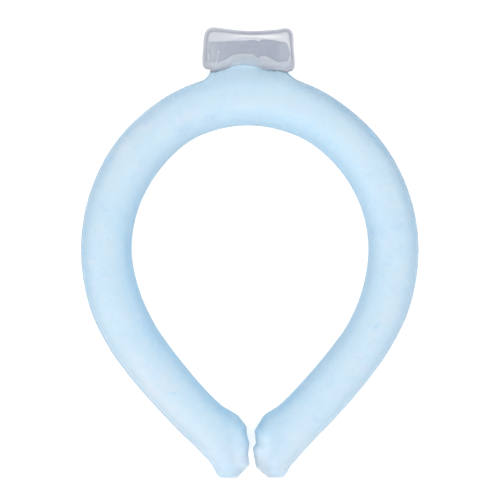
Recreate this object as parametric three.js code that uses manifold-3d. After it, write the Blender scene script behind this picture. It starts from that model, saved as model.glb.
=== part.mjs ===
// Cooling neck ring: a clear film tube filled with light-blue cooling gel, bent to an open
// teardrop, with a clear welded filler tab at the back and two closed ends that nearly meet
// at the front.
//
// Millimetres, +Z up. The ring lies flat: X runs across it, +Y points to the filler tab at the
// back of the neck, and Z is its thickness. The origin is the middle of its outline, on the
// surface that it lies on.

import * as THREE from "three";
import { mergeVertices } from "three/addons/utils/BufferGeometryUtils.js";
import Module from "manifold-3d";

const wasm = await Module();
wasm.setup();

// ---------------------------------------------------------------- named sizes
const FILM = 0.8; // wall of the film sleeve
const GEL_GAP = 0.3; // between the film and the gel
const MID_Z = 10.35; // height of the tube's middle plane, where the two film halves are welded
const HALF_HEIGHT = 10.55; // half of the tube's height; what would reach under 0 is pressed flat
const SEAM_PROUD = 0.4; // weld seam that stands out all round the middle plane
const RING_CENTRE = [0.14, 1.08]; // centre that the arc's radii are measured from

const TAB_WEB = 1.2; // thickness of the welded tab
const TAB_RIM = 2.4; // thickness of its rim bead
const TAB_RIM_WIDTH = 1.5;
const TAB_GAP = 0.35; // between the tab and the sleeve's lip
const SLIT_HALF_WIDTH = 12.0; // filler slit in the lip
const SLIT_HEIGHT = 1.3;
const SLIT_DEPTH = 3.0; // from the lip's edge into the hollow
const TONGUE_GAP = 0.35; // all round the tongue that closes the slit
const TONGUE_DEPTH = 1.3; // how far the tongue goes in

// ---------------------------------------------------------------- sections of the tube
// ix, iy: the section's point on the ring's inner outline. ox, oy: its point on the outer one.
// h: half of its height.
const LEFT_END = [
  { ix: -5.2, iy: -101.2, ox: -13.2, oy: -101.2, h: 1.3 },
  { ix: -3.8, iy: -98.6, ox: -14.9, oy: -98.5, h: 4.9 },
  { ix: -0.2, iy: -95.6, ox: -16.5, oy: -95.3, h: 7.3 },
  { ix: -0.6, iy: -90.7, ox: -18.4, oy: -93.0, h: 8.7 },
  { ix: 0.1, iy: -85.8, ox: -20.4, oy: -90.9, h: 9.7 },
  { ix: -1.1, iy: -81.4, ox: -22.6, oy: -88.8, h: 10.2 },
  { ix: -1.5, iy: -78.6, ox: -24.2, oy: -87.2, h: 10.4 },
  { ix: -5.3, iy: -73.4, ox: -26.8, oy: -84.9, h: HALF_HEIGHT },
];
const LEFT_ARM = [
  { ix: -12.1, iy: -69.0, ox: -29.9, oy: -82.2, h: HALF_HEIGHT },
  { ix: -19.0, iy: -62.6, ox: -34.7, oy: -77.5, h: HALF_HEIGHT },
  { ix: -28.3, iy: -52.1, ox: -45.0, oy: -66.4, h: HALF_HEIGHT },
  { ix: -36.3, iy: -41.6, ox: -54.5, oy: -55.3, h: HALF_HEIGHT },
  { ix: -43.0, iy: -31.6, ox: -62.9, oy: -43.6, h: HALF_HEIGHT },
];
// deg: direction from RING_CENTRE, from +X towards +Y. inner, outer: radii there.
const ARC = [
  { deg: 200, inner: 53.0, outer: 76.6 },
  { deg: 180, inner: 53.2, outer: 76.1 },
  { deg: 160, inner: 53.6, outer: 76.6 },
  { deg: 140, inner: 54.4, outer: 77.6 },
  { deg: 120, inner: 55.8, outer: 78.7 },
  { deg: 105, inner: 56.3, outer: 79.3 },
  { deg: 90, inner: 56.25, outer: 79.4 },
  { deg: 75, inner: 55.9, outer: 79.1 },
  { deg: 60, inner: 55.2, outer: 78.2 },
  { deg: 40, inner: 54.0, outer: 77.0 },
  { deg: 20, inner: 53.5, outer: 76.0 },
  { deg: 0, inner: 53.0, outer: 75.8 },
  { deg: -20, inner: 53.4, outer: 76.3 },
];
const RIGHT_ARM = [
  { ix: 44.2, iy: -31.9, ox: 63.4, oy: -43.3, h: HALF_HEIGHT },
  { ix: 37.6, iy: -41.8, ox: 55.2, oy: -55.0, h: HALF_HEIGHT },
  { ix: 29.2, iy: -52.0, ox: 46.0, oy: -66.4, h: HALF_HEIGHT },
  { ix: 19.7, iy: -62.4, ox: 35.9, oy: -77.6, h: HALF_HEIGHT },
  { ix: 13.3, iy: -69.1, ox: 30.7, oy: -82.3, h: HALF_HEIGHT },
];
const RIGHT_END = [
  { ix: 6.8, iy: -73.4, ox: 28.6, oy: -84.5, h: HALF_HEIGHT },
  { ix: 2.6, iy: -80.3, ox: 26.2, oy: -87.1, h: 10.4 },
  { ix: 2.8, iy: -85.9, ox: 24.2, oy: -89.4, h: 10.0 },
  { ix: 1.8, iy: -88.2, ox: 22.7, oy: -91.1, h: 9.6 },
  { ix: 2.2, iy: -91.2, ox: 20.6, oy: -93.4, h: 8.8 },
  { ix: 3.2, iy: -96.6, ox: 18.1, oy: -96.3, h: 6.3 },
  { ix: 9.1, iy: -101.1, ox: 15.3, oy: -101.0, h: 1.3 },
];

// The lip, which the sleeve's outer side is drawn out to where it is welded to the tab.
// x: place across the ring. out: how far the lip stands out of the tube's plain outline.
const LIP = [
  { x: -21.0, out: 0.0 },
  { x: -18.2, out: 1.9 },
  { x: -16.6, out: 3.3 },
  { x: -12.4, out: 3.6 },
  { x: -7.4, out: 4.6 },
  { x: -2.0, out: 5.2 },
  { x: 2.9, out: 4.3 },
  { x: 7.0, out: 3.2 },
  { x: 12.0, out: 3.1 },
  { x: 16.2, out: 3.0 },
  { x: 18.0, out: 1.6 },
  { x: 21.0, out: 0.0 },
];
const LIP_PINCH = 0.72; // how much of the lip's own thickness the weld takes away

// The tab's outline, from its lower left corner round over the top.
const TAB_OUTLINE = [
  { x: -17.8, y: 81.4 },
  { x: -19.8, y: 81.8 },
  { x: -21.0, y: 83.2 },
  { x: -21.2, y: 85.4 },
  { x: -20.8, y: 92.4 },
  { x: -20.3, y: 98.3 },
  { x: -19.3, y: 100.5 },
  { x: -16.9, y: 101.4 },
  { x: -12.4, y: 100.8 },
  { x: -6.5, y: 100.0 },
  { x: 0.2, y: 99.5 },
  { x: 7.0, y: 99.8 },
  { x: 12.8, y: 100.4 },
  { x: 16.4, y: 101.0 },
  { x: 18.6, y: 100.2 },
  { x: 19.6, y: 98.2 },
  { x: 19.9, y: 92.4 },
  { x: 20.3, y: 86.2 },
  { x: 20.2, y: 83.0 },
  { x: 19.2, y: 81.5 },
  { x: 17.3, y: 81.1 },
];

// ---------------------------------------------------------------- lofting the tube
const RAD = Math.PI / 180;
const arcRows = ARC.map(({ deg, inner, outer }) => ({
  ix: RING_CENTRE[0] + inner * Math.cos(deg * RAD),
  iy: RING_CENTRE[1] + inner * Math.sin(deg * RAD),
  ox: RING_CENTRE[0] + outer * Math.cos(deg * RAD),
  oy: RING_CENTRE[1] + outer * Math.sin(deg * RAD),
  h: HALF_HEIGHT,
}));
const SECTIONS = [...LEFT_END, ...LEFT_ARM, ...arcRows, ...RIGHT_ARM, ...RIGHT_END];
const LAST = SECTIONS.length - 1;
const innerRail = new THREE.CatmullRomCurve3(
  SECTIONS.map((s) => new THREE.Vector3(s.ix, s.iy, s.h)), false, "centripetal");
const outerRail = new THREE.CatmullRomCurve3(
  SECTIONS.map((s) => new THREE.Vector3(s.ox, s.oy, s.h)), false, "centripetal");

// How finely each stretch between two rows is divided.
const firstArc = LEFT_END.length + LEFT_ARM.length;
const topRow = firstArc + ARC.findIndex((a) => a.deg === 90);
function stepsAfter(row) {
  if (row < LEFT_END.length || row >= LAST - RIGHT_END.length + 1) return 1;
  if (row >= topRow - 1 && row <= topRow) return 5;
  if (row === topRow - 2 || row === topRow + 1) return 2;
  return row < firstArc || row >= firstArc + ARC.length ? 2 : 3;
}
function stations(from, to) {
  const at = [];
  for (let row = 0; row < LAST; row++)
    for (let k = 0; k < stepsAfter(row); k++) at.push(row + k / stepsAfter(row));
  at.push(LAST);
  return [from, ...at.filter((t) => t > from + 0.12 && t < to - 0.12), to];
}

function lipAt(x) {
  for (let i = 1; i < LIP.length; i++)
    if (x >= LIP[i - 1].x && x <= LIP[i].x) {
      const f = (x - LIP[i - 1].x) / (LIP[i].x - LIP[i - 1].x);
      return LIP[i - 1].out + f * (LIP[i].out - LIP[i - 1].out);
    }
  return 0;
}

// Points round one section. inset draws it in from the film's outer surface, and proud is the
// height of the weld seam at both sides.
function section(t, angles, inset, proud) {
  const i = innerRail.getPoint(t / LAST), o = outerRail.getPoint(t / LAST);
  const across = new THREE.Vector2(o.x - i.x, o.y - i.y);
  const width = across.length();
  across.divideScalar(width);
  const cx = (i.x + o.x) / 2, cy = (i.y + o.y) / 2;
  const a = width / 2 - SEAM_PROUD - inset;
  const b = i.z - inset;
  const lip = cy > 0 ? lipAt(o.x) : 0;
  return angles.map((deg) => {
    const c = Math.cos(deg * RAD), s = Math.sin(deg * RAD);
    const seam = deg % 180 === 0 ? proud : 0;
    const draw = c > 0 ? lip * Math.pow(c, 4) : 0;
    const pinch = c > 0 ? 1 - LIP_PINCH * Math.min(1, lip / 3.2) * Math.pow(c, 5) : 1;
    const u = a * c + (draw - (draw > 0 ? inset * 0.5 * Math.pow(c, 4) : 0)) + Math.sign(c) * seam;
    const z = MID_Z + b * s * pinch;
    return [cx + across.x * u, cy + across.y * u, Math.max(z, inset)];
  });
}

function loft(at, angles, inset, proud) {
  const n = angles.length, rings = at.map((t) => section(t, angles, inset, proud));
  const position = rings.flat(2), index = [];
  for (let r = 0; r + 1 < rings.length; r++)
    for (let k = 0; k < n; k++) {
      const a = r * n + k, b = r * n + ((k + 1) % n), c = a + n, d = b + n;
      index.push(a, c, b, b, c, d);
    }
  // each end closes on the middle of its last section
  const ends = [[rings[0], 0, false], [rings[rings.length - 1], (rings.length - 1) * n, true]];
  for (const [ring, base, turned] of ends) {
    const centre = position.length / 3;
    for (const axis of [0, 1, 2]) position.push(ring.reduce((sum, p) => sum + p[axis], 0) / n);
    for (let k = 0; k < n; k++) {
      const a = base + k, b = base + ((k + 1) % n);
      if (turned) index.push(centre, b, a);
      else index.push(centre, a, b);
    }
  }
  const g = new THREE.BufferGeometry();
  g.setAttribute("position", new THREE.Float32BufferAttribute(position, 3));
  g.setIndex(index);
  return g;
}

// ---------------------------------------------------------------- solids
function solid(geometry) {
  const g = geometry.clone();
  g.deleteAttribute("normal");
  g.deleteAttribute("uv");
  const m = mergeVertices(g, 1e-4);
  const made = new wasm.Manifold(new wasm.Mesh({
    numProp: 3,
    vertProperties: new Float32Array(m.attributes.position.array),
    triVerts: new Uint32Array(m.index.array),
  }));
  if (made.volume() > 0) return made;
  const flipped = new Uint32Array(m.index.array);
  for (let i = 0; i < flipped.length; i += 3) [flipped[i], flipped[i + 1]] = [flipped[i + 1], flipped[i]];
  return new wasm.Manifold(new wasm.Mesh({
    numProp: 3,
    vertProperties: new Float32Array(m.attributes.position.array),
    triVerts: flipped,
  }));
}
function geometryOf(manifold) {
  const m = manifold.getMesh();
  const g = new THREE.BufferGeometry();
  g.setAttribute("position", new THREE.BufferAttribute(new Float32Array(m.vertProperties), 3));
  g.setIndex(new THREE.BufferAttribute(new Uint32Array(m.triVerts), 1));
  g.computeVertexNormals();
  return g;
}
function plate(points, thickness) {
  const g = new THREE.ExtrudeGeometry(new THREE.Shape(points), {
    depth: thickness, bevelEnabled: false, steps: 1,
  });
  g.translate(0, 0, MID_Z - thickness / 2);
  return g;
}

// Directions of the points round a section, in degrees, from the ring's outside over its top.
// The strip from 259 to 281 is the one it lies on.
const SKIN_ANGLES = [0, 6, 24, 43, 62, 81, 99, 118, 137, 156, 174, 180, 186, 204, 223, 242, 259, 281, 298, 317, 336, 354];
const CORE_ANGLES = [0, 22, 43, 64, 83, 97, 116, 137, 158, 180, 202, 224, 243, 259, 281, 297, 316, 338];

const outside = solid(loft(stations(0, LAST), SKIN_ANGLES, 0, SEAM_PROUD));
const cavity = solid(loft(stations(0.55, LAST - 0.45), CORE_ANGLES, FILM, 0));
const gel = solid(loft(stations(0.8, LAST - 0.65), CORE_ANGLES, FILM + GEL_GAP, 0));

// A flat tongue across the lip, from a depth inside its edge to beyond it.
const lipEdge = stations(topRow - 1.2, topRow + 1.2).map((t) => section(t, [0], 0, SEAM_PROUD)[0]);
function acrossLip(halfWidth, depth, height) {
  const steps = 12, points = [];
  for (let k = 0; k <= steps; k++) {
    const x = halfWidth * (2 * k / steps - 1);
    const next = lipEdge.findIndex((p, i) => i > 0 && p[0] >= x);
    const [a, b] = [lipEdge[next - 1], lipEdge[next]];
    points.push(new THREE.Vector2(x, a[1] + (b[1] - a[1]) * (x - a[0]) / (b[0] - a[0]) - depth));
  }
  points.push(new THREE.Vector2(halfWidth, 88), new THREE.Vector2(-halfWidth, 88));
  return plate(points, height);
}
const slit = solid(acrossLip(SLIT_HALF_WIDTH, SLIT_DEPTH, SLIT_HEIGHT));
const skin = outside.subtract(cavity).subtract(slit);

// The tab: a welded plate with a rim bead round its free sides, cut clear of the lip, and a
// tongue that goes into the slit.
const outline = new THREE.CatmullRomCurve3(
  TAB_OUTLINE.map((p) => new THREE.Vector3(p.x, p.y, 0)), true, "centripetal")
  .getPoints(TAB_OUTLINE.length * 2).slice(0, -1).map((p) => new THREE.Vector2(p.x, p.y));
const tabMiddle = new THREE.Vector2(-0.4, 91.5);
const window_ = outline.map((p) => new THREE.Vector2(
  tabMiddle.x + (p.x - tabMiddle.x) * (1 - TAB_RIM_WIDTH / 20.5),
  p.y > tabMiddle.y
    ? tabMiddle.y + (p.y - tabMiddle.y) * (1 - TAB_RIM_WIDTH / 9.2)
    : tabMiddle.y + (p.y - tabMiddle.y) * 1.6,
));
const rim = solid(plate(outline, TAB_RIM)).subtract(solid(plate(window_, TAB_RIM + 2)));
const nearSkin = solid(loft(stations(topRow - 3, topRow + 3), SKIN_ANGLES, -TAB_GAP, SEAM_PROUD));
const tongue = solid(acrossLip(
  SLIT_HALF_WIDTH - TONGUE_GAP, TONGUE_DEPTH, SLIT_HEIGHT - 2 * TONGUE_GAP,
));
const tab = solid(plate(outline, TAB_WEB)).add(rim).subtract(nearSkin).add(tongue);

// ---------------------------------------------------------------- the scene graph
const film = new THREE.MeshStandardMaterial({
  color: 0xdfe6f2, roughness: 0.35, metalness: 0, transparent: true, opacity: 0.35,
});
const coolant = new THREE.MeshStandardMaterial({ color: 0xc2e0f5, roughness: 0.6, metalness: 0 });
const tabFilm = new THREE.MeshStandardMaterial({
  color: 0xbfc3d2, roughness: 0.2, metalness: 0, transparent: true, opacity: 0.7,
});

function piece(name, manifold, material) {
  const mesh = new THREE.Mesh(geometryOf(manifold), material);
  mesh.name = name;
  return mesh;
}

const ring = new THREE.Group();
ring.add(piece("tube_skin", skin, film));
ring.add(piece("cooling_gel", gel, coolant));
ring.add(piece("filler_tab", tab, tabFilm));

export default ring;
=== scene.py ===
"""Looks of the cooling neck ring: a clear film tube filled with light-blue gel, lying flat,
with a clear welded filler tab at the back and two closed ends that nearly meet in front.

Lengths in the tables are millimetres in the part's own frame; meshes are written in metres.
"""

import math

import bpy
import numpy as np
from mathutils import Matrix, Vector


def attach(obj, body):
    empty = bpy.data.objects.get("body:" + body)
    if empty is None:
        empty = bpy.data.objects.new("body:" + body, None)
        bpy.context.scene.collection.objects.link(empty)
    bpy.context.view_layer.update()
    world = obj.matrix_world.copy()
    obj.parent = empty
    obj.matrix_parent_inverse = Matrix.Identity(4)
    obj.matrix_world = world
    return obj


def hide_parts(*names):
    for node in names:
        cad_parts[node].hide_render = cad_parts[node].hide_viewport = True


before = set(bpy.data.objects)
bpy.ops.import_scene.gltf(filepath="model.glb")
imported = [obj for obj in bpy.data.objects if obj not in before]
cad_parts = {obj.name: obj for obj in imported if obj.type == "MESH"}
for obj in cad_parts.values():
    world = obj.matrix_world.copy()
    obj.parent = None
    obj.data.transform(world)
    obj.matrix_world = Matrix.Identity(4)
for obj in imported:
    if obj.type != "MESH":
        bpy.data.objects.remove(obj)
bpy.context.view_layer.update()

# ---------------------------------------------------------------- named sizes (mm)
MID_Z = 10.35            # height of the weld seam, the tube's middle plane
HALF_HEIGHT = 10.55      # half of the tube's height
SEAM_PROUD = 0.4         # how far the weld seam stands out
SEAM_HALF = 0.27         # half of the seam's thickness
RING_CENTRE = (0.14, 1.08)
PX = 0.45                # one pixel of the view from above

# ---------------------------------------------------------------- sections of the tube
# columns: inner outline x, y; outer outline x, y
LEFT_END = [
    (-5.9, -101.8, -12.5, -101.8), (-4.7, -100.9, -14.1, -100.8), (-3.2, -98.9, -15.4, -98.6),
    (0.3, -95.6, -17.1, -95.3),
    (-0.5, -90.7, -19.0, -93.1), (0.1, -85.8, -21.0, -91.1), (-1.1, -81.4, -23.1, -89.0),
    (-1.1, -78.4, -24.5, -87.3), (-5.1, -73.3, -27.0, -85.0),
]
LEFT_ARM = [
    (-12.2, -69.1, -30.0, -82.3), (-19.0, -62.6, -34.7, -77.5), (-28.2, -52.0, -45.0, -66.4),
    (-36.3, -41.6, -54.5, -55.3), (-43.0, -31.6, -62.9, -43.6),
]
# columns: direction from the ring's centre in degrees, inner radius, outer radius
ARC = [
    (200, 52.85, 76.6), (180, 53.15, 76.1), (160, 53.45, 76.5), (140, 54.1, 77.6), (120, 55.8, 78.6),
    (105, 56.1, 79.2), (90, 56.05, 79.4), (75, 55.65, 79.4), (60, 55.3, 78.2), (40, 54.1, 77.1),
    (20, 53.6, 76.3), (0, 53.35, 76.1), (-20, 53.7, 76.6),
]
RIGHT_ARM = [
    (44.4, -32.0, 63.4, -43.3), (37.6, -41.8, 55.3, -55.1), (29.2, -52.0, 46.0, -66.4),
    (19.8, -62.5, 35.9, -77.6), (13.2, -69.0, 31.0, -82.5),
]
RIGHT_END = [
    (6.5, -73.2, 29.0, -84.7), (2.2, -80.2, 26.6, -87.2), (2.8, -85.9, 24.5, -89.5),
    (1.4, -88.1, 23.0, -91.2), (1.9, -91.2, 21.0, -93.5), (2.9, -96.6, 18.4, -96.4),
    (7.8, -101.0, 16.2, -100.5), (9.2, -101.8, 15.1, -101.6),
]
# columns: distance from the end's tip along the tube, half height there
END_HEIGHT = [
    (0.0, 0.30), (0.7, 0.42), (1.6, 1.9), (2.8, 3.7), (4.4, 5.4), (6.4, 6.9), (9.6, 8.6),
    (13.2, 9.65), (17.0, 10.2), (24.0, HALF_HEIGHT),
]
# columns: x, how far the lip stands out of the tube's plain outline
LIP = [
    (-21.6, 0.0), (-20.2, 0.2), (-19.1, 0.65), (-18.1, 1.5), (-17.3, 2.6), (-16.5, 3.3),
    (-12.4, 3.6), (-7.4, 4.6), (-2.0, 5.2), (2.9, 4.3), (7.0, 3.2), (12.0, 3.1), (15.7, 3.1),
    (16.7, 2.4), (18.0, 1.4), (20.0, 0.5), (22.0, 0.0),
]
LIP_PINCH = 0.90

# Puckers of the film at the welded ends and below the tab.
# columns: start x, y on the outline; direction in degrees; length; half width; depth (+ is a fold in)
PUCKERS = [
    # left end
    (-1.2, -81.4, 196, 8.0, 1.1, 0.13), (0.1, -85.7, 184, 6.5, 1.1, -0.10),
    (-0.5, -90.8, 172, 8.0, 1.2, 0.14), (-0.2, -95.5, 158, 7.0, 1.1, -0.10),
    (-3.6, -98.5, 128, 7.0, 1.1, 0.12), (-7.8, -101.2, 96, 6.5, 0.9, 0.08),
    (-10.9, -101.2, 84, 7.0, 0.9, 0.09), (-14.6, -98.9, 44, 6.5, 1.0, 0.11),
    (-17.4, -94.2, 36, 7.0, 1.1, 0.10), (-3.4, -76.0, 226, 6.0, 1.0, 0.09),
    (-1.6, -93.0, 200, 3.6, 0.6, 0.16),
    # right end
    (2.6, -80.3, -18, 7.0, 1.1, -0.10), (2.7, -84.4, -6, 8.0, 1.2, 0.12),
    (1.8, -88.0, 2, 6.5, 1.1, -0.10), (2.3, -92.6, 14, 8.0, 1.2, 0.13),
    (3.4, -97.2, 34, 7.0, 1.1, -0.09), (6.2, -99.3, 56, 7.0, 1.1, 0.12),
    (10.9, -101.1, 88, 6.5, 0.9, 0.09), (13.6, -101.0, 98, 6.5, 0.9, 0.08),
    (16.8, -98.4, 134, 7.0, 1.0, 0.12), (20.3, -93.6, 142, 7.0, 1.1, 0.09),
    (4.6, -77.0, -44, 6.0, 1.0, 0.09),
    # below the tab
    (-14.8, 82.0, 262, 5.5, 0.7, 0.16), (-11.0, 83.0, 268, 6.5, 0.7, 0.20),
    (4.6, 83.6, 276, 7.0, 0.7, 0.24), (8.2, 82.6, 268, 6.0, 0.6, 0.24),
    (11.6, 82.2, 274, 6.5, 0.7, 0.22), (14.6, 81.8, 280, 5.0, 0.6, 0.18),
]
# Short creases that run along the weld below the tab: x0, y0, x1, y1, half width, depth
WELD_CREASES = [
    (3.9, 82.9, 9.6, 81.3, 0.36, 0.30), (8.8, 82.0, 16.2, 80.9, 0.34, 0.26),
    (5.6, 81.7, 11.2, 80.3, 0.32, -0.20), (-17.0, 80.9, -10.6, 82.0, 0.34, 0.22),
]

# The weld line between the lip and the tab, x and y.
WELD = [
    (-17.6, 81.5), (-15.6, 81.9), (-12.4, 83.0), (-9.7, 83.9), (-7.4, 84.8), (-4.3, 85.4),
    (0.2, 85.5), (2.9, 84.6), (5.6, 83.4), (10.1, 82.8), (13.7, 82.4), (16.9, 81.5),
]
# The tab's other sides, from its lower left corner round over the top, x and y.
TAB_SIDES = [
    (-17.8, 82.2), (-19.6, 82.5), (-20.8, 83.5), (-21.2, 85.6), (-20.9, 92.4), (-20.4, 97.8),
    (-19.3, 100.1), (-17.0, 101.3), (-12.4, 100.95), (-6.5, 100.2), (0.2, 99.75), (7.0, 99.95),
    (12.8, 100.5), (16.2, 101.0), (18.4, 100.4), (19.6, 98.4), (20.0, 92.4), (20.4, 86.2),
    (20.2, 83.2), (19.1, 81.7), (17.3, 81.2),
]

# ---------------------------------------------------------------- curves and noise


def catmull(points, at):
    """Centripetal Catmull-Rom curve through points, at the given row numbers."""
    p = np.asarray(points, float)
    last = len(p) - 1
    row = np.minimum(np.floor(at).astype(int), last - 1)
    w = (at - row)[:, None]
    padded = np.vstack([2 * p[0] - p[1], p, 2 * p[-1] - p[-2]])
    a, b, c, d = (padded[row + k] for k in range(4))

    def knot(u, v):
        return np.maximum(np.sum((u - v) ** 2, axis=1) ** 0.25, 1e-4)[:, None]

    d0, d1, d2 = knot(a, b), knot(b, c), knot(c, d)
    t1 = ((b - a) / d0 - (c - a) / (d0 + d1) + (c - b) / d1) * d1
    t2 = ((c - b) / d1 - (d - b) / (d1 + d2) + (d - c) / d2) * d1
    return (b + t1 * w + (-3 * b + 3 * c - 2 * t1 - t2) * w ** 2
            + (2 * b - 2 * c + t1 + t2) * w ** 3)


def straight(points, at):
    p = np.asarray(points, float)
    rows = np.arange(len(p))
    return np.column_stack([np.interp(at, rows, p[:, k]) for k in range(p.shape[1])])


def blurred(values, sigma, step):
    """Gaussian smoothing of evenly spaced values, with the ends carried on straight."""
    values = np.asarray(values, float)
    flat = values.ndim == 1
    v = values[:, None] if flat else values
    n = max(1, int(math.ceil(3 * sigma / step)))
    kernel = np.exp(-0.5 * (np.arange(-n, n + 1) * step / sigma) ** 2)
    kernel /= kernel.sum()
    head = 2 * v[0] - v[1:n + 1][::-1]
    tail = 2 * v[-1] - v[-n - 1:-1][::-1]
    long = np.vstack([head, v, tail])
    out = np.column_stack([np.convolve(long[:, k], kernel, "valid") for k in range(v.shape[1])])
    return out[:, 0] if flat else out


def table(rows, x):
    a = np.asarray(rows, float)
    return np.interp(x, a[:, 0], a[:, 1])


def smooth(lo, hi, x):
    t = np.clip((x - lo) / (hi - lo), 0, 1)
    return t * t * (3 - 2 * t)


_lattice = np.random.RandomState(41).rand(32, 32, 32)


def noise(points, cell, shift=0.0):
    """Soft noise from -1 to 1 at points (mm), with lumps about cell wide."""
    q = points / cell + shift + 500.0
    i = np.floor(q).astype(int)
    f = q - i
    f = f * f * (3 - 2 * f)
    out = 0.0
    for dx in (0, 1):
        for dy in (0, 1):
            for dz in (0, 1):
                weight = (np.where(dx, f[..., 0], 1 - f[..., 0])
                          * np.where(dy, f[..., 1], 1 - f[..., 1])
                          * np.where(dz, f[..., 2], 1 - f[..., 2]))
                out = out + weight * _lattice[(i[..., 0] + dx) % 32, (i[..., 1] + dy) % 32,
                                              (i[..., 2] + dz) % 32]
    return out * 2 - 1


# ---------------------------------------------------------------- the tube's two outlines
arc_rows = [
    (RING_CENTRE[0] + i * math.cos(math.radians(d)), RING_CENTRE[1] + i * math.sin(math.radians(d)),
     RING_CENTRE[0] + o * math.cos(math.radians(d)), RING_CENTRE[1] + o * math.sin(math.radians(d)))
    for d, i, o in ARC
]
SECTIONS = np.array(LEFT_END + LEFT_ARM + arc_rows + RIGHT_ARM + RIGHT_END)
LAST = len(SECTIONS) - 1
STEP = 0.25  # mm between samples along the tube

rows = np.linspace(0, LAST, LAST * 60 + 1)
curved = np.hstack([catmull(SECTIONS[:, :2], rows), catmull(SECTIONS[:, 2:], rows)])
ended = straight(SECTIONS, rows)
in_end = np.maximum(1 - smooth(8.6, 10.0, rows), smooth(LAST - 9.0, LAST - 7.6, rows))[:, None]
outline = curved * (1 - in_end) + ended * in_end
middle = (outline[:, :2] + outline[:, 2:]) / 2
length_at = np.concatenate([[0], np.cumsum(np.linalg.norm(np.diff(middle, axis=0), axis=1))])
LENGTH = length_at[-1]
S = np.arange(0, LENGTH + STEP / 2, STEP)
S[-1] = min(S[-1], LENGTH)
even = np.column_stack([np.interp(S, length_at, outline[:, k]) for k in range(4)])
from_tip = np.minimum(S, LENGTH - S)
calm = blurred(even, 2.6, STEP)
crisp_in_end = 1 - smooth(33, 44, from_tip)[:, None]
SHARP = blurred(even, 0.34, STEP) * crisp_in_end + calm * (1 - crisp_in_end)
soft_rail = blurred(even, 3.4, STEP)
pin = (1 - smooth(0.0, 5.0, from_tip))[:, None]
SOFT = (soft_rail * (1 - pin) + SHARP * pin) * crisp_in_end + calm * (1 - crisp_in_end)
HEIGHT = blurred(table(END_HEIGHT, from_tip), 0.55, STEP)
HEIGHT = np.maximum(HEIGHT, 0.26)
LIP_OUT = np.where(SHARP[:, 3] > 0, table(LIP, SHARP[:, 2]), 0.0)
LIP_OUT = np.maximum(blurred(LIP_OUT, 0.5, STEP), 0.0)


def sampled(values, s):
    if values.ndim == 1:
        return np.interp(s, S, values)
    return np.column_stack([np.interp(s, S, values[:, k]) for k in range(values.shape[1])])


def grid_of(s, degrees, inset=0.0, seam=0.0):
    """Points of the tube's surface: one row for each place s along it, one for each direction
    round it (0 is the ring's outside, 90 its top)."""
    sharp, soft, h, lip = (sampled(v, s) for v in (SHARP, SOFT, HEIGHT, LIP_OUT))
    th = np.radians(degrees)[None, :]
    c, si = np.cos(th), np.sin(th)
    inner, outer = soft[:, :2], soft[:, 2:]
    across = outer - inner
    width = np.linalg.norm(across, axis=1, keepdims=True)
    across = across / width
    mid = (inner + outer) / 2
    b = np.maximum(h - inset, 0.12)[:, None]
    thin = 1 - smooth(3.0, 15.0, np.minimum(s, LENGTH - s))[:, None]
    power = 1 + 0.22 * thin
    outward = np.clip(c, 0, 1)
    lip = lip[:, None]
    share = np.minimum(1, lip / 3.2)
    a = width / 2 - SEAM_PROUD - inset * (1 - 0.6 * np.minimum(1, 2 * share) * (c > 0))
    pinch = 1 - LIP_PINCH * share * outward ** 5
    z = b * np.sign(si) * np.abs(si) ** power * pinch
    u = a * c + lip * outward ** 4
    if inset:
        fin = np.sqrt(np.clip(1 - (z / 0.16) ** 2, 0, 1))
        u = u + np.sign(c) * (inset + 0.32) * fin
    if seam:
        ridge = np.sqrt(np.clip(1 - (z / SEAM_HALF) ** 2, 0, 1)) + 0.22 * np.exp(-(z / 0.6) ** 2)
        u = u + np.sign(c) * seam * np.minimum(ridge, 1) * (1 - 0.55 * share * (c > 0))
    grow_in = (sharp[:, :2] - inner)[:, None, :] * (np.clip(-c, 0, 1) ** 5)[..., None]
    grow_out = (sharp[:, 2:] - outer)[:, None, :] * (outward ** 5)[..., None]
    xy = mid[:, None, :] + across[:, None, :] * u[..., None] + grow_in + grow_out
    return np.concatenate([xy, (MID_Z + z)[..., None]], axis=2)


def normals_of(grid):
    """Outward normals of a closed-round grid of points."""
    along = np.gradient(grid, axis=0)
    wrapped = np.concatenate([grid[:, -1:], grid, grid[:, :1]], axis=1)
    round_ = (wrapped[:, 2:] - wrapped[:, :-2])
    n = np.cross(round_, along)
    n /= np.maximum(np.linalg.norm(n, axis=2, keepdims=True), 1e-9)
    centre = grid.mean(axis=1, keepdims=True)
    turned = np.sign(np.sum(n * (grid - centre), axis=2).mean())
    return n * turned


def puckered(grid, normal, share=1.0):
    """How far the film folds in (mm) at each point, from the two tables of folds."""
    x, y = grid[..., 0], grid[..., 1]
    fold = np.zeros_like(x)
    for x0, y0, degrees, length, half, depth in PUCKERS:
        dx, dy = math.cos(math.radians(degrees)), math.sin(math.radians(degrees))
        along = (x - x0) * dx + (y - y0) * dy
        aside = -(x - x0) * dy + (y - y0) * dx
        bend = 0.35 * np.sin(along * 0.9 + x0)
        wide = half * (0.75 + 0.55 * np.clip(along / length, 0, 1))
        fade = smooth(-0.9, 0.5, along) * (1 - smooth(0.25 * length, length, along))
        fold += depth * fade * np.exp(-((aside - bend) / wide) ** 2)
    for x0, y0, x1, y1, half, depth in WELD_CREASES:
        span = math.hypot(x1 - x0, y1 - y0)
        dx, dy = (x1 - x0) / span, (y1 - y0) / span
        along = (x - x0) * dx + (y - y0) * dy
        aside = -(x - x0) * dy + (y - y0) * dx - 0.18 * np.sin(along * 2.1 + x0)
        fade = smooth(0, 1.2, along) * (1 - smooth(span - 1.2, span, along))
        fold += depth * fade * np.exp(-(aside / half) ** 2)
    upright = smooth(0.03, 0.35, np.abs(normal[..., 2]))
    return fold * share * (0.35 + 0.65 * upright)


# ---------------------------------------------------------------- meshes


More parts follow.
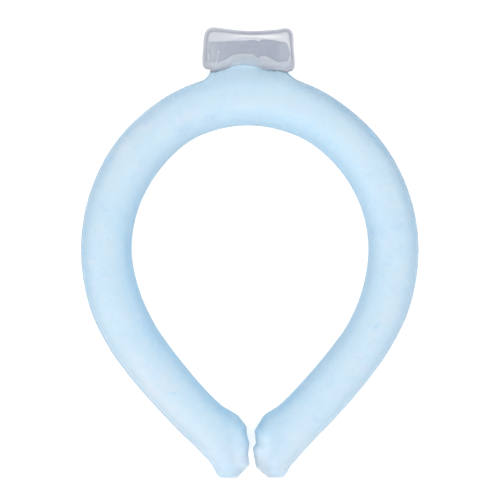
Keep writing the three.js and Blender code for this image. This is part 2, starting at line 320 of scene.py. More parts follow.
def mesh_of(name, vertices, faces, smooth_faces=True):
    mesh = bpy.data.meshes.new(name)
    mesh.from_pydata((np.asarray(vertices) * 0.001).tolist(), [], faces)
    mesh.validate()
    mesh.update()
    if smooth_faces:
        mesh.polygons.foreach_set("use_smooth", [True] * len(mesh.polygons))
    piece = bpy.data.objects.new(name, mesh)
    bpy.context.scene.collection.objects.link(piece)
    return piece


def tube_faces(n, m):
    faces = []
    for r in range(n - 1):
        for k in range(m):
            a, b = r * m + k, r * m + (k + 1) % m
            faces.append((a, a + m, b + m, b))
    return faces


def tube_piece(name, grid):
    """A closed tube from a grid of points, its ends closed on the middle of the last rows."""
    n, m = grid.shape[:2]
    vertices = grid.reshape(-1, 3)
    first, last = len(vertices), len(vertices) + 1
    vertices = np.vstack([vertices, grid[0].mean(axis=0), grid[-1].mean(axis=0)])
    faces = tube_faces(n, m)
    faces += [(first, k, (k + 1) % m) for k in range(m)]
    base = (n - 1) * m
    faces += [(last, base + (k + 1) % m, base + k) for k in range(m)]
    return mesh_of(name, vertices, faces)


def outward_faces(piece):
    """Turns the faces so that they all point out."""
    import bmesh
    bm = bmesh.new()
    bm.from_mesh(piece.data)
    bmesh.ops.recalc_face_normals(bm, faces=bm.faces)
    bm.to_mesh(piece.data)
    bm.free()


def give(piece, name, values):
    """A named number on each vertex, for the material to read."""
    attribute = piece.data.attributes.new(name, "FLOAT", "POINT")
    attribute.data.foreach_set("value", np.asarray(values, np.float32).ravel())


def half_round(step):
    """Directions round a section, close together at the weld seam."""
    near = [0, 0.35, 0.7, 1.0, 1.25, 1.45, 1.65, 1.95, 2.5, 3.4, 4.8, 6.8, 9.4, 12.6]
    inside = list(np.linspace(16.5, 163.5, int(round(147 / step)) + 1))
    upper = near + inside + [180 - d for d in near[::-1]]
    return np.array(upper + [360 - d for d in upper[1:-1][::-1]])


def places(count, lo=0.0, hi=None):
    """Places along the tube, closer together at both ends and at the neck of the tab."""
    hi = LENGTH if hi is None else hi
    s = np.linspace(lo, hi, 4000)
    x_out, y_out = sampled(SHARP, s)[:, 2], sampled(SHARP, s)[:, 3]
    tip = np.minimum(s, LENGTH - s)
    density = (1 + 2.2 * (1 - smooth(12, 30, tip)) + 1.6 * (1 - smooth(0, 4, tip))
               + 1.6 * (y_out > 60) * (1 - smooth(22, 30, np.abs(x_out))))
    total = np.concatenate([[0], np.cumsum((density[1:] + density[:-1]) / 2)])
    return np.interp(np.linspace(0, total[-1], count), total, s)


# The film sleeve
skin_at = places(720)
skin_round = half_round(4.6)
skin = grid_of(skin_at, skin_round, 0.0, SEAM_PROUD)
skin_normal = normals_of(skin)
ripple = 0.045 * noise(skin, 9.0) + 0.02 * noise(skin, 3.2, 7.0)
calm_at_seam = smooth(0.3, 2.2, np.abs(skin[..., 2] - MID_Z))
skin = skin + skin_normal * ((ripple * calm_at_seam) - puckered(skin, skin_normal))[..., None]
wander = 0.05 * noise(np.stack([skin[..., 0], skin[..., 1], skin[..., 0] * 0], axis=-1), 2.4, 3.0)
skin[..., 2] += wander * (1 - calm_at_seam)
skin[..., 2] = np.maximum(skin[..., 2], 0.0)
sleeve = tube_piece("film_sleeve", skin)

# The gel: just inside the film, and short of the welded tips
GEL_FROM_TIP = 0.4
gel_at = places(760, GEL_FROM_TIP, LENGTH - GEL_FROM_TIP)
gel_side = np.concatenate([[0, 0.45, 0.75, 1.1, 2.2], np.linspace(4.6, 175.4, 43), [177.8, 178.9, 179.25, 179.55]])
gel_round = np.concatenate([gel_side, [180], 360 - gel_side[:0:-1]])
gel = grid_of(gel_at, gel_round, 0.14, 0.0)
gel_normal = normals_of(gel)
lumps = 0.05 * noise(gel, 6.0, 11.0) + 0.025 * noise(gel, 2.4, 5.0)
gel = gel + gel_normal * (lumps - 0.05 - puckered(gel, gel_normal, 0.9))[..., None]
gel[..., 2] = np.maximum(gel[..., 2], 0.25)
filling = tube_piece("cooling_gel_body", gel)

# ---------------------------------------------------------------- the gel's cloudiness
# columns: x, y in pixels of the view from above; half length and half width in pixels; turn in
# degrees; strength. Each kind of cloud has its own table.
GREY_CLOUDS = [
    (146, 117, 17, 7, 40, 0.80), (156, 111, 9, 5, 30, 0.40), (137, 149, 4, 4, 0, 0.52),
    (184, 131, 11, 6, 32, 0.62), (200, 128, 10, 4, 18, 0.30), (212, 121, 9, 4, 12, 0.75),
    (322, 99, 10, 5, -26, 0.60),
    (361, 138, 13, 6, -56, 0.60), (104, 213, 14, 4, 84, 0.30), (404, 214, 9, 4, 84, 0.15),
    (172, 371, 14, 5, -50, 0.12), (156, 362, 4, 2, 0, 0.22), (170, 379, 5, 2, -20, 0.35),
    (234, 471, 12, 6, 0, 0.20), (270, 469, 13, 7, 0, 0.20),
]
PALE_CLOUDS = [
    (144, 129, 13, 3.5, 28, 0.80), (124, 150, 12, 5, 60, 0.65), (193, 117, 15, 6, 24, 0.80),
    (180, 122, 6, 4, 50, 0.60), (167, 132, 7, 9, 80, 0.35), (103, 226, 8, 3, 82, 0.45),
    (94, 262, 7, 2.4, 10, 0.70), (97, 269, 6, 2, 0, 0.30), (109, 279.6, 4.5, 1.8, 6, 0.85),
    (100, 288, 5, 3, 70, 0.35), (137, 357, 12, 3.5, -12, 0.60), (144, 367, 13, 8, -40, 0.65), (166, 384, 17, 8, -48, 0.50),
    (153, 386, 17, 8, -50, 0.50), (172, 408, 12, 7, -44, 0.40), (304, 110, 11, 7, -24, 0.35),
    (348, 143, 14, 8, -44, 0.20), (380, 190, 15, 3, 4, 0.65), (378, 183, 10, 2, 2, 0.30),
    (388, 246, 13, 9, 88, 0.36), (398, 279, 14, 6, 78, 0.35), (384, 317, 9, 5, 12, 0.55),
    (374, 336, 5, 2.4, 60, 0.50), (357, 353, 6, 4, 50, 0.80), (354, 366, 13, 8, 42, 0.55),
    (331, 393, 13, 7, 46, 0.35), (250, 104, 26, 7, 2, 0.30), (205, 432, 20, 10, -44, 0.35),
    (300, 430, 22, 11, 46, 0.35), (128, 340, 8, 4, -56, 0.40),
]
BLUE_CLOUDS = [
    (110, 161, 6, 3, 60, 0.78), (106, 276.0, 3, 1.5, 8, 0.40), (98, 281.5, 3, 1.4, 0, 0.25),
    (148, 333, 18, 7, -58, 0.20), (174, 392, 7, 1.6, -12, 0.60), (346, 111, 9, 4, -44, 0.30),
    (373, 135, 14, 6, -52, 1.00), (399, 226, 10, 5, 10, 0.28), (404, 200, 8, 4, 84, 0.45),
    (374, 232, 6, 5, 90, 0.30), (386, 264, 6, 5, 0, 0.15), (374, 272, 14, 4, 86, 0.12),
    (375.2, 325, 5.5, 1.7, 76, 0.85), (371, 341, 5, 1.6, 66, 0.30), (357, 350, 3, 1.6, 60, 0.10),
    (331, 378, 5, 3, 62, 0.50), (352, 378, 6, 3, 20, 0.18), (262, 68, 9, 5, -24, 0.50), (243, 66, 15, 3.4, 0, 0.55), (276, 76, 9, 4, -24, 0.25),
    (243, 428, 10, 4, -60, 0.40), (241, 457, 5, 1.8, 80, 0.45), (260, 433, 10, 4, 74, 0.50),
    (255, 448, 5, 2, 70, 0.20),
]
WARM_CLOUDS = [
    (153, 386, 17, 8, -50, 0.90), (172, 408, 13, 7, -44, 0.60), (166, 384, 15, 8, -48, 0.55),
    (144, 367, 12, 7, -40, 0.45),
]


def clouds(rows, points):
    """Soft-edged clouds, ragged by noise, at points (mm)."""
    warp = np.stack([noise(points, 5.0, 21.0) + 0.5 * noise(points, 2.2, 2.0),
                     noise(points, 5.0, 33.0) + 0.5 * noise(points, 2.2, 9.0)], axis=-1)
    px = points[..., 0] / PX + 249.45 + 2.4 * warp[..., 0]
    py = 252.4 - points[..., 1] / PX + 2.4 * warp[..., 1]
    ragged = 0.16 * noise(points, 1.9, 5.0) + 0.12 * noise(points, 0.9, 3.0)
    total = np.zeros(points.shape[:-1])
    for x, y, along, aside, turn, strength in rows:
        dx, dy = px - x, py - y
        ca, sa = math.cos(math.radians(turn)), math.sin(math.radians(turn))
        u, v = dx * ca - dy * sa, dx * sa + dy * ca
        spot = np.exp(-(u / along) ** 2 - (v / aside) ** 2)
        total = np.maximum(total, strength * smooth(0.08, 0.92, spot + ragged * (spot > 0.02)))
    return total


# How the gel's colour deepens towards the tube's two sides: partly the gel's own deeper colour,
# partly painted shade at the edges. columns: place across the tube (0 its middle, 1 its edge),
# share of the deep colour inside the ring, share outside it
SIDE_TINT_AND_SHADE = [(0.0, 0.0, 0.0), (0.35, 0.06, 0.03), (0.55, 0.20, 0.16), (0.75, 0.32, 0.38),
             (0.85, 0.42, 0.55), (0.93, 0.56, 0.74), (1.0, 0.78, 0.95)]
# How strong that deeper colour and painted shade is along the tube, and how far the gel pales
# there, partly frosted and partly painted light.
# columns: section number, strength inside the ring, strength outside it, paling
STRETCHES = [(0, 0.1, 0.0, 0.0), (3.4, 0.35, 0.4, 0.0), (4.2, 0.7, 0.5, 0.0), (5.2, 1.2, 0.6, 0.0), (8, 1.2, 0.8, 0.0),
             (11, 1.15, 0.7, 0.05), (15, 1.05, 0.75, 0.0), (17.5, 0.42, 1.0, 0.0), (20, 0.55, 1.1, 0.0),
             (22.5, 0.9, 1.55, 0.05), (25, 0.42, 1.0, 0.0), (29, 1.0, 0.2, 0.05), (32, 1.3, 0.0, 0.05),
             (34.5, 0.9, 0.0, 0.0), (36.5, 0.4, 0.0, 0.0), (39, 0.1, 0.0, 0.0)]
section_at = np.interp(gel_at, length_at, rows)
inner_share, outer_share, paling_and_painted_light = (
    np.interp(section_at, [r[0] for r in STRETCHES], [r[k] for r in STRETCHES])[:, None]
    for k in (1, 2, 3))
side = np.cos(np.radians(gel_round))[None, :] * np.ones((len(gel_at), 1))
sway = 0.05 * noise(gel, 14.0, 3.0) + 0.025 * noise(gel, 5.0, 8.0)
# the share of deep colour inside and outside the ring: the gel's deeper colour with painted shade at the edges
inner_tint_and_shade = table([(u, i) for u, i, o in SIDE_TINT_AND_SHADE], np.clip(-side + sway, 0, 1)) * inner_share
on_right_arm = smooth(25.5, 27, section_at)[:, None] * (1 - smooth(30.5, 31.5, section_at))[:, None]
inner_tint_and_shade = inner_tint_and_shade * (1 - on_right_arm) + 1.25 * inner_tint_and_shade ** 1.35 * on_right_arm
neck = np.minimum(1, sampled(LIP_OUT, gel_at) / 3.2)[:, None]
outer_tint_and_shade = table([(u, o) for u, i, o in SIDE_TINT_AND_SHADE], np.clip(side + sway, 0, 1)) \
    * outer_share * (1 - 0.85 * neck)

def with_caps(values):
    return np.concatenate([values.ravel(), [values[0].mean(), values[-1].mean()]])


from_end = np.minimum(gel_at, LENGTH - gel_at)[:, None]
right_end = (gel_at > LENGTH / 2)[:, None]
outward_faces(sleeve)
outward_faces(filling)
# the sides' deeper colour, partly painted shade at the edges
give(filling, "inner_tint_and_shade", with_caps(inner_tint_and_shade))
give(filling, "outer_tint_and_shade", with_caps(outer_tint_and_shade))
# paler gel, partly frosted and partly painted light, most on the right end's outer side
give(filling, "paling_and_painted_light", with_caps(
    paling_and_painted_light + 0.35 * right_end * (1 - smooth(16, 34, from_end)) * smooth(0.1, 0.6, side)))
# painted shade over the ends, more on their inner sides, which face each other
shaded = np.where(right_end, 0.95 * smooth(-0.22, 0.50, -side), 0.32 + 0.38 * smooth(0.0, 0.45, -side)) \
    * (1 - smooth(14, 34, from_end))
# the tips' greyish tone, partly painted shade
give(filling, "tip", with_caps(np.where(right_end, 1.0, 0.5) * (1 - smooth(1, 12, from_end)) * (0.25 + 0.75 * smooth(0.15, 0.75, -side))))
give(filling, "end_calm", with_caps((1 - smooth(10, 22, from_end)) * np.where(right_end, smooth(1, 9, from_end), smooth(3, 9, from_end))
                                    * (0.4 + 0.6 * smooth(0.05, 0.7, -side))))
# beige clouds, with painted shade on the outer side of the left end and arm and on the right end's inner side
give(filling, "warm_cloud_and_shade", with_caps(0.75 * smooth(3, 7, section_at)[:, None]
                                * (1 - smooth(12, 15, section_at))[:, None] * smooth(0.1, 0.7, side)
                                + 0.22 * smooth(32.5, 34, section_at)[:, None] * smooth(-0.1, 0.3, -side)
                                + clouds(WARM_CLOUDS, gel)))
# painted shade on the inner side by the left end's shoulder, and a little by the right one
shoulder_shade = np.exp(-((section_at - 6.6) / 1.5) ** 2) + 0.15 * np.exp(-((section_at - 31.3) / 1.1) ** 2)
give(filling, "shoulder_shade", with_caps(shoulder_shade[:, None] * smooth(-0.05, 0.6, -side)))
# painted shade along the upper right, on the side inside the ring
give(filling, "upper_right_shade", with_caps((smooth(18.5, 20.5, section_at) * (1 - smooth(23, 24.5, section_at)))[:, None]
                                * smooth(0.3, 0.7, -side)))
shaded = shaded * (1 - smooth(0.84, 0.98, -side))
give(filling, "end_shade", with_caps(shaded))
# painted light on the ends' inner flanks, where the two ends face each other
give(filling, "gap_painted_light", with_caps(smooth(0.76, 0.97, -side) * (1 - smooth(16, 24, from_end))
                                    * smooth(6, 11, from_end)))
by_neck = smooth(66, 71, gel[..., 1]) * smooth(9, 12, np.abs(gel[..., 0] + 0.8)) \
    * (1 - smooth(24, 30, np.abs(gel[..., 0] + 0.8)))
give(filling, "fin", with_caps(smooth(0.95, 0.995, side)
                               * np.minimum(1, 0.25 + 0.7 * by_neck + 0.35 * outer_share)))
give(filling, "neck_tint", with_caps(smooth(67, 78, gel[..., 1] + 3 * sway)
                                     * (1 - smooth(18, 36, np.abs(gel[..., 0])))))
give(filling, "grey_cloud", with_caps(clouds(GREY_CLOUDS, gel)))
give(filling, "pale_cloud", with_caps(clouds(PALE_CLOUDS, gel)))
give(filling, "blue_cloud", with_caps(clouds(BLUE_CLOUDS, gel)))

# ---------------------------------------------------------------- the filler tab
def rounded(points, count):
    """A closed smooth outline through points, evenly spaced."""
    p = np.asarray(points, float)
    looped = np.vstack([p[-3:], p, p[:3]])
    at = np.linspace(3, 3 + len(p), count * 8 + 1)[:-1]
    c = catmull(looped, at)
    closed = np.vstack([c, c[:1]])
    run = np.concatenate([[0], np.cumsum(np.linalg.norm(np.diff(closed, axis=0), axis=1))])
    even_ = np.linspace(0, run[-1], count + 1)[:-1]
    return np.column_stack([np.interp(even_, run, closed[:, k]) for k in (0, 1)])


def distance_to(line, points):
    """Shortest distance from points to an open line of points."""
    best = np.full(points.shape[:-1], 1e9)
    for a, b in zip(line[:-1], line[1:]):
        d = b - a
        t = np.clip(((points - a) @ d) / max(d @ d, 1e-12), 0, 1)
        best = np.minimum(best, np.linalg.norm(points - (a + t[..., None] * d), axis=-1))
    return best


TAB_ROUND = 440
FOOT_UNDER = 1.3  # how far the tab's foot goes on below the weld line, inside the lip
weld_back = [(x, y - FOOT_UNDER * math.cos(x / 17.6 * 1.2)) for x, y in WELD[::-1]]
tab_outline = rounded(TAB_SIDES + weld_back, TAB_ROUND)
free_side = straight(TAB_SIDES, np.linspace(0, len(TAB_SIDES) - 1, 240))
free_side = np.column_stack([blurred(free_side[:, k], 2.0, 1.0) for k in (0, 1)])
weld_line = straight(WELD, np.linspace(0, len(WELD) - 1, 120))

# rings of points from the outline in to a line along the tab's middle
tab_core = np.column_stack([np.clip(tab_outline[:, 0], -12.5, 12.0),
                            np.full(TAB_ROUND, 92.6)])
depths = np.concatenate([[0, 0.03, 0.1, 0.2, 0.32, 0.46, 0.62, 0.8, 1.0, 1.2, 1.4, 1.6, 1.8, 2.05,
                          2.3, 2.6, 2.9, 3.2], np.linspace(3.5, 60, 1)])[:-1]
reach = np.linalg.norm(tab_core - tab_outline, axis=1)
rings = []
for d in depths:
    rings.append(np.minimum(d / reach, 0.6))
start = rings[-1]
for f in np.linspace(0, 1, 44)[1:]:
    rings.append(start + (0.994 - start) * f)
share_in = np.array(rings)
tab_xy = tab_outline[None] + (tab_core - tab_outline)[None] * share_in[..., None]


def tab_px(xy):
    return xy[..., 0] / PX + 249.45, 252.4 - xy[..., 1] / PX


# Edges of the pressed band across the tab, in pixels of the view from above: x, y
BAND_TOP = [(203, 41.9), (214, 41.9), (226, 41.6), (236, 41.0), (244, 41.0), (247.4, 40.9),
            (248.4, 40.4), (255.6, 40.5), (257.2, 41.2), (259.6, 41.2), (261.2, 40.2), (268, 39.9),
            (275, 40.7), (281, 41.9), (285.5, 42.6), (287.6, 44.6), (288.6, 48.0), (294, 60)]
BAND_FOOT = [(203, 61.6), (216, 61.9), (221, 61.2), (225, 59.4), (228, 57.6), (231, 56.0),
             (234.5, 54.2), (240, 53.5), (253.5, 53.8), (255.4, 55.6), (256.6, 57.2), (258.4, 57.4),
             (260.4, 56.0), (264.5, 55.6), (268.5, 56.9), (272.5, 59.2), (276, 61.4), (279, 61.9),
             (284, 61.4), (287.4, 60.6), (288.6, 58.0), (294, 50)]
# How pale each zone of the tab is along its length: x in pixels, paleness (0 to 255)
TOP_LEVEL = [(205, 211), (222, 214), (235, 222)]
BAND_LEVEL = [(212, 180), (228, 168), (276, 163), (285, 177)]
LOW_LEVEL = [(212, 204), (240, 194), (258, 194), (286, 202)]
# Lines and spots, mostly painted highlights on ridges, a crease and a dot, painted shadow lines below the gloss, and a
# few paler marks: x0, y0, x1, y1 in pixels, half width in pixels, how much paler (or darker)
TAB_LIGHT_AND_SHADE_LINES = [
    (208.1, 42.5, 208.4, 60.0, 0.55, 18), (209.0, 54.0, 209.6, 61.5, 0.6, 26),
    (288.9, 42.5, 290.0, 51.0, 0.6, 26), (290.0, 51.0, 290.3, 61.0, 0.6, 26),
    (218.9, 51.6, 219.1, 52.6, 1.1, 46), (218.4, 55.4, 216.6, 61.6, 0.8, 30),
    (212.6, 50.0, 212.8, 60.0, 1.6, 4), (280.5, 47.0, 281.0, 58.0, 1.6, 5),
    (228.0, 58.6, 231.6, 57.4, 0.7, 12), (226.6, 61.4, 232.0, 60.0, 0.8, 9),
    (237.5, 39.1, 246.0, 38.4, 0.75, -13), (246.0, 38.4, 257.0, 38.8, 0.7, -15),
    (257.0, 38.8, 264.0, 39.4, 0.7, -8), (231.0, 40.2, 240.0, 39.9, 0.7, -8),
    (247.9, 41.4, 248.5, 46.0, 0.6, -5), (236.0, 43.4, 247.0, 43.0, 0.8, 6),
    (262.0, 43.0, 276.0, 44.0, 1.4, 3), (224.0, 45.5, 236.0, 45.0, 1.6, 3),
    (239.0, 55.0, 252.0, 55.4, 0.9, 6), (261.0, 57.4, 269.0, 58.8, 1.0, 7),
    (270.0, 60.6, 276.0, 63.4, 0.9, 6), (233.0, 63.7, 246.0, 64.0, 0.6, 12),
    (246.0, 64.0, 256.0, 64.8, 0.6, 8), (227.0, 62.4, 231.0, 58.6, 0.6, 12),
]


def on_line(px, py, row):
    """1 on a short line given in pixels, falling off within its half width."""
    x0, y0, x1, y1, half = row[:5]
    away = distance_to(np.array([(x0, y0), (x1, y1)]), np.stack([px, py], axis=-1))
    return np.exp(-(away / half) ** 2)


def tab_zones(xy):
    """How much each point lies in the pressed band, the upper field and the lower crescent, with
    its distance from the free edge and from the weld."""
    p3 = np.stack([xy[..., 0], xy[..., 1], 0 * xy[..., 0]], axis=-1)
    rag = 0.60 * noise(p3, 1.5, 4.0) + 0.35 * noise(p3, 0.7, 9.0)
    px, py = tab_px(xy)
    top = table(BAND_TOP, px) + 0.35 * rag
    foot = table(BAND_FOOT, px) + 0.55 * rag
    rim = distance_to(free_side, xy)
    near_foot = distance_to(weld_line, xy)
    inside = smooth(1.75, 2.2, rim)
    blur = 0.55 + 0.9 * (1 - smooth(236, 248, px))
    band = smooth(-blur, blur, py - top) * smooth(-0.7, 0.7, foot - py) * inside
    upper = smooth(-blur, blur, top - py) * inside
    lower = smooth(-0.7, 0.7, py - foot) * inside
    return rim, near_foot, band, upper, lower, rag


def line_mark(xy, x0, y0, x1, y1, half):
    """1 on a short line given in pixels, falling to 0 half a width away (mm)."""
    a = np.array([(x0 - 249.45) * PX, (252.4 - y0) * PX])
    b = np.array([(x1 - 249.45) * PX, (252.4 - y1) * PX])
    return np.exp(-(distance_to(np.array([a, b]), xy) / half) ** 2)


rim, near_foot, band, upper, lower, rag = tab_zones(tab_xy)
bead_width = 1.35
round_rim = np.sqrt(np.clip(1 - (1 - np.clip(rim / 0.62, 0, 1)) ** 2, 0, 1))
bead = 1.12 * round_rim * (1 - smooth(0.72, bead_width, rim))
web = 0.60 + 0.16 * upper + 0.14 * lower - 0.06 * band
web = web * smooth(0.0, 0.5, rim)
web = web - 0.16 * np.exp(-((rim - 1.62) / 0.26) ** 2)
bulge = 0.30 * upper * np.exp(-((tab_px(tab_xy)[1] - 36.8) / 3.0) ** 2) \
    * np.exp(-((tab_px(tab_xy)[0] - 262) / 26) ** 2)
marks = (0.22 * line_mark(tab_xy, 209.6, 50, 209.9, 62.5, 0.26)
         + 0.24 * line_mark(tab_xy, 290.0, 46, 290.9, 62, 0.26)
         + 0.20 * line_mark(tab_xy, 219.0, 55, 217.0, 62.0, 0.24)
         + 0.34 * line_mark(tab_xy, 219.2, 51.4, 219.2, 52.4, 0.42))
edge_of_band = np.exp(-((band - 0.5) / 0.22) ** 2)
thick = np.maximum(bead, web) + bulge + marks + 0.05 * edge_of_band * smooth(1.8, 2.4, rim) \
    + 0.035 * rag * (1 - 0.7 * band) * smooth(1.6, 2.4, rim)
# the foot stays a little proud of the sleeve's lip at both sides, and sinks into it in the middle
proud_foot = smooth(5.5, 9.5, np.abs(tab_xy[..., 0] + 1.2))
thick = thick + 0.20 * proud_foot * (1 - smooth(0.2, 1.3, near_foot))
above_weld = tab_xy[..., 1] - table(WELD, tab_xy[..., 0])
thick = thick * (1 - 0.66 * (1 - proud_foot) * (1 - smooth(-0.4, 3.6, above_weld)))
edge_close = np.sqrt(np.clip(1 - (1 - np.clip(
    np.linalg.norm(tab_xy - tab_outline[None], axis=-1) / 0.55, 0, 1)) ** 2, 0, 1))
thick = thick * edge_close
upper_side = np.concatenate([tab_xy, (MID_Z + thick)[..., None]], axis=2)
lower_side = np.concatenate([tab_xy, (MID_Z - thick)[..., None]], axis=2)[1:]
n_rings = len(tab_xy)
tab_vertices = np.vstack([upper_side.reshape(-1, 3), lower_side.reshape(-1, 3)])
tab_faces = []
for r in range(n_rings - 1):
    for k in range(TAB_ROUND):
        a, b = r * TAB_ROUND + k, r * TAB_ROUND + (k + 1) % TAB_ROUND
        tab_faces.append((a, b, b + TAB_ROUND, a + TAB_ROUND))
shift = n_rings * TAB_ROUND
for r in range(n_rings - 1):
    for k in range(TAB_ROUND):
        k1 = (k + 1) % TAB_ROUND
        if r == 0:
            tab_faces.append((k1, k, shift + k, shift + k1))
        else:
            o = shift + (r - 1) * TAB_ROUND
            tab_faces.append((o + k1, o + k, o + TAB_ROUND + k, o + TAB_ROUND + k1))
# the innermost rings close on the tab's middle line
for base, flip in (((n_rings - 1) * TAB_ROUND, False), (shift + (n_rings - 2) * TAB_ROUND, True)):
    ring_ = list(range(base, base + TAB_ROUND))
    tab_faces.append(tuple(ring_[::-1] if flip else ring_))
tab = mesh_of("filler_tab_film", tab_vertices, tab_faces)


def both_sides(values):
    return np.concatenate([values.ravel(), values[1:].ravel()])


def lit(level):
    """Linear brightness of an 8-bit level."""
    v = np.asarray(level, float) / 255
    return np.where(v <= 0.04045, v / 12.92, ((v + 0.055) / 1.055) ** 2.4)


px_, py_ = tab_px(tab_xy)
p3_ = np.stack([tab_xy[..., 0], tab_xy[..., 1], 0 * tab_xy[..., 0]], axis=-1)
fine = 0.6 * noise(p3_, 1.1, 2.0) + 0.4 * noise(p3_, 0.55, 6.0)
broad = noise(p3_, 3.2, 13.0)
level = (upper * table(TOP_LEVEL, px_) + band * (table(BAND_LEVEL, px_) + 2.2 * fine + 2.5 * broad)
         + lower * (table(LOW_LEVEL, px_) + 2.6 * fine))
zoned = upper + band + lower
level = level / np.maximum(zoned, 1e-3) * np.clip(zoned * 3, 0, 1) + 203 * (1 - np.clip(zoned * 3, 0, 1))
# painted highlight: the soft gloss below the top edge
painted_highlight_y = 36.2 + 0.4 * smooth(258, 280, px_)
level += 25 * np.exp(-((py_ - painted_highlight_y) / 1.35) ** 2) * smooth(227, 246, px_) * (1 - smooth(259, 288, px_)) \
    + 12 * np.exp(-((py_ - painted_highlight_y - 0.4) / 2.0) ** 2) * smooth(256, 264, px_) * (1 - smooth(272, 287, px_))
# painted highlights and painted shadow lines from the table
for row in TAB_LIGHT_AND_SHADE_LINES:
    level += row[5] * on_line(px_, py_, row) * smooth(1.2, 1.7, rim)
# the rim: a pale bead outside, and painted shade, partly a darker tint, in the groove along its inner foot; both fade
# out at the lower corners
on_left, on_right = 1 - smooth(214, 224, px_), smooth(280, 287, px_)
line_at = 1.42 + 0.13 * on_left - 0.20 * on_right
line_half = 0.34 + 0.14 * smooth(236, 246, px_) * (1 - smooth(258, 270, px_))
above_corner = 1 - smooth(59.5, 62.5, py_)
rim_groove_shade = np.exp(-(np.abs(rim - line_at) / line_half) ** 2.6) * above_corner
bead_zone = 1 - smooth(line_at - 0.25, line_at + 0.1, rim)
bead_level = 207 - 3 * on_left * smooth(40, 50, py_) + 1 * on_right
level = level * (1 - bead_zone) + bead_level * bead_zone
low_bead = np.exp(-((rim - 0.55) / 0.45) ** 2) * (1 - above_corner)
level = level + (197 - level) * 0.7 * low_bead
level = level + (178 - level) * 0.92 * rim_groove_shade
# painted shadow along the weld at the tab's foot, dark to the left and right, and lost in the middle
weld_mid = smooth(5.0, 8.5, np.abs(tab_xy[..., 0] + 1.6))
weld_foot_shadow = np.exp(-(near_foot / 0.32) ** 2) * weld_mid
level = level + (158 - level) * (0.9 * (px_ < 250) * (1 - smooth(223, 230, px_)) + 0.85 * (px_ > 250) * (1 - smooth(272, 278, px_))) * weld_foot_shadow
PALE_AT, DARK_AT = 246.0, 150.0
paleness = (lit(level) - lit(DARK_AT)) / (lit(PALE_AT) - lit(DARK_AT))
bluish = np.clip(lower * smooth(54, 63, py_) * (0.35 + 0.65 * smooth(228, 236, px_) * (1 - smooth(254, 264, px_))), 0, 1)
# paleness carries the tab's zone tones with painted highlights and painted shade lines
give(tab, "paleness", both_sides(np.clip(paleness, 0, 1)))
give(tab, "bluish", both_sides(bluish))
give(tab, "band", both_sides(band))
outward_faces(tab)

# ---------------------------------------------------------------- materials


def linear(r, g, b):
    """A colour given as 8-bit sRGB, as the linear numbers that the shader takes."""
    def one(v):
        v /= 255
        return v / 12.92 if v <= 0.04045 else ((v + 0.055) / 1.055) ** 2.4
    return (one(r), one(g), one(b), 1.0)


class Nodes:
    """A short hand for building a node material."""

    def __init__(self, name):
        self.material = bpy.data.materials.new(name)
        self.material.use_nodes = True
        self.tree = self.material.node_tree
        self.tree.nodes.clear()

    def add(self, kind, **settings):
        node = self.tree.nodes.new(kind)
        for key, value in settings.items():
            setattr(node, key, value)
        return node

    def join(self, a, b):
        self.tree.links.new(a, b)

    def number(self, name):
        return self.add("ShaderNodeAttribute", attribute_name=name).outputs["Fac"]

    def sums(self, operation, a, b, clamp=False):
        node = self.add("ShaderNodeMath", operation=operation, use_clamp=clamp)
        for socket, value in zip(node.inputs, (a, b)):
            if isinstance(value, (int, float)):
                socket.default_value = value
            else:
                self.join(value, socket)
        return node.outputs[0]

    def blend(self, factor, a, b):
        node = self.add("ShaderNodeMix", data_type="RGBA", clamp_factor=True)
        sockets = {s.identifier: s for s in node.inputs}
        for key, value in (("Factor_Float", factor), ("A_Color", a), ("B_Color", b)):
            if isinstance(value, (int, float, tuple)):
                sockets[key].default_value = value
            else:
                self.join(value, sockets[key])
        return {s.identifier: s for s in node.outputs}["Result_Color"]

    def noise(self, scale, detail=4.0, roughness=0.55, distortion=0.0):
        coord = self.add("ShaderNodeTexCoord")
        node = self.add("ShaderNodeTexNoise")
        node.inputs["Scale"].default_value = scale
        node.inputs["Detail"].default_value = detail
        node.inputs["Roughness"].default_value = roughness
        node.inputs["Distortion"].default_value = distortion
        self.join(coord.outputs["Object"], node.inputs["Vector"])
        return node.outputs["Fac"]

    def spread(self, value, lo, hi, to_lo=0.0, to_hi=1.0):
        node = self.add("ShaderNodeMapRange")
        node.interpolation_type = "SMOOTHSTEP"
        self.join(value, node.inputs["Value"])
        node.inputs["From Min"].default_value = lo
        node.inputs["From Max"].default_value = hi
        node.inputs["To Min"].default_value = to_lo
        node.inputs["To Max"].default_value = to_hi
        return node.outputs["Result"]

    def bump(self, height, strength, distance):
        node = self.add("ShaderNodeBump")
        node.inputs["Strength"].default_value = strength
        node.inputs["Distance"].default_value = distance
        self.join(height, node.inputs["Height"])
        return node.outputs["Normal"]

    def end(self, shader):
        out = self.add("ShaderNodeOutputMaterial")
        self.join(shader, out.inputs["Surface"])
        return self.material


